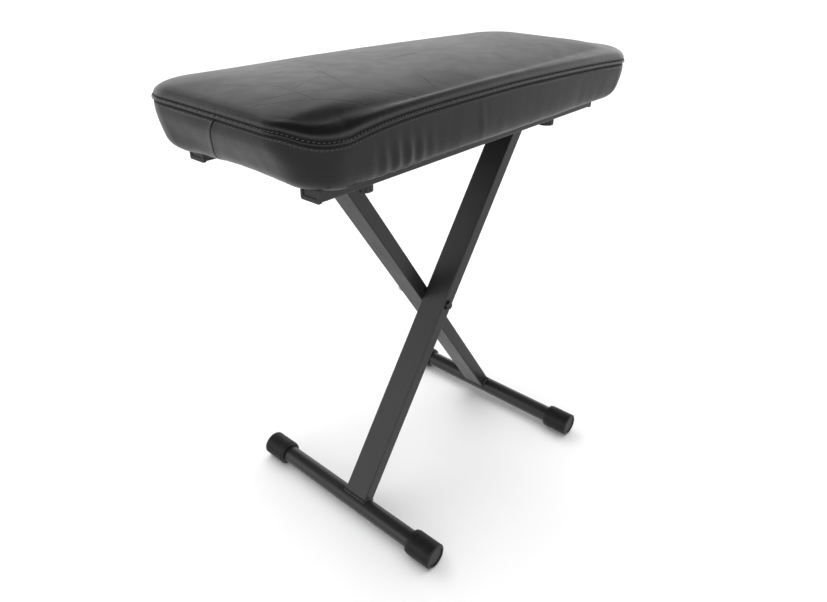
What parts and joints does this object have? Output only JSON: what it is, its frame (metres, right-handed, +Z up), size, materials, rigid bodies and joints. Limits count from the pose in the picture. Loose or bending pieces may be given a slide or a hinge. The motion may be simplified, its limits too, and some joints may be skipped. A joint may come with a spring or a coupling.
{
  "type": "folding piano bench",
  "caption": "Folding X-frame piano bench: padded leatherette seat on two rails over crossed steel legs with ribbed rubber foot caps.",
  "frame": {"origin": "on the floor, under the middle of the seat", "axes": "+Z up; X along the seat, with the hinged T-bar at +X; Y across the seat, the pivot bolt's head facing -Y"},
  "size_m": [0.596, 0.3306, 0.602],
  "materials": {
    "plywood": "birch plywood, unfinished",
    "foam": "open-cell polyurethane foam",
    "leatherette": "black fine-grain leatherette with a satin sheen",
    "dust_cloth": "black non-woven cloth",
    "rubber": "moulded black rubber, matt",
    "cap_plastic": "moulded black plastic",
    "knob_plastic": "moulded dark plastic, satin",
    "block_plastic": "glass-filled nylon, matt",
    "zinc_steel": "zinc-plated steel",
    "black_steel": "black oxide steel",
    "powder_coat": "black satin powder coat over steel tube"
  },
  "bodies": {
    "seat": {"dust_cloth": "dust_cloth", "rail_cap_far_left": "cap_plastic", "rail_cap_far_right": "cap_plastic", "rail_cap_near_left": "cap_plastic", "rail_cap_near_right": "cap_plastic", "rail_far": "powder_coat", "rail_near": "powder_coat", "rail_screws_far": "zinc_steel", "rail_screws_near": "zinc_steel", "seat_board": "plywood", "seat_cover": "leatherette", "seat_foam": "foam", "slide_block_a_far": "block_plastic", "slide_block_a_near": "block_plastic"},
    "leg_a": {"leg_tube_a": "powder_coat", "foot_tube_a": "powder_coat", "t_bar_a": "powder_coat", "foot_cap_a_near": "rubber", "foot_cap_a_far": "rubber", "pivot_stub_a_near": "zinc_steel", "pivot_stub_a_far": "zinc_steel", "pivot_bolt": "black_steel", "pivot_nut": "black_steel", "pivot_head_washer": "black_steel", "pivot_nut_washer": "black_steel", "pivot_thrust_washer": "block_plastic"},
    "leg_b": {"leg_tube_b": "powder_coat", "foot_tube_b": "powder_coat", "t_bar_b": "powder_coat", "foot_cap_b_near": "rubber", "foot_cap_b_far": "rubber", "pivot_stub_b_near": "zinc_steel", "pivot_stub_b_far": "zinc_steel"},
    "slide_blocks": {"slide_block_b_near": "block_plastic", "slide_block_b_far": "block_plastic"},
    "knob_a_near": {"clamp_knob_a_near": "knob_plastic", "clamp_stud_a_near": "zinc_steel"},
    "knob_a_far": {"clamp_knob_a_far": "knob_plastic", "clamp_stud_a_far": "zinc_steel"},
    "knob_b_near": {"clamp_knob_b_near": "knob_plastic", "clamp_stud_b_near": "zinc_steel"},
    "knob_b_far": {"clamp_knob_b_far": "knob_plastic", "clamp_stud_b_far": "zinc_steel"}
  },
  "joints": [
    {"name": "leg_a_hinge", "type": "hinge", "parent": "seat", "child": "leg_a", "pos_m": [0.17354, 0, 0.514], "axis": [0, 1, 0], "range_deg": [-28, 7]},
    {"name": "leg_cross", "type": "hinge", "parent": "leg_a", "child": "leg_b", "pos_m": [0.008, 0, 0.2705], "axis": [0, 1, 0], "range_deg": [-14.5, 56.5]},
    {"name": "slide_block_level", "type": "hinge", "parent": "leg_b", "child": "slide_blocks", "pos_m": [-0.15754, 0, 0.514], "axis": [0, 1, 0], "range_deg": [-28.5, 7.5]},
    {"name": "knob_a_near_turn", "type": "hinge", "parent": "seat", "child": "knob_a_near", "pos_m": [0.18454, -0.0605, 0.5], "axis": [0, 0, 1], "range_deg": [-360, 0]},
    {"name": "knob_a_far_turn", "type": "hinge", "parent": "seat", "child": "knob_a_far", "pos_m": [0.18454, 0.0605, 0.5], "axis": [0, 0, 1], "range_deg": [-360, 0]},
    {"name": "knob_b_near_turn", "type": "hinge", "parent": "slide_blocks", "child": "knob_b_near", "pos_m": [-0.16854, -0.0605, 0.5], "axis": [0, 0, 1], "range_deg": [-360, 0]},
    {"name": "knob_b_far_turn", "type": "hinge", "parent": "slide_blocks", "child": "knob_b_far", "pos_m": [-0.16854, 0.0605, 0.5], "axis": [0, 0, 1], "range_deg": [-360, 0]}
  ],
  "couplings": [
    {"joint": "leg_cross", "follows": "leg_a_hinge", "ratio": -2},
    {"joint": "slide_block_level", "follows": "leg_a_hinge", "ratio": 1}
  ]
}
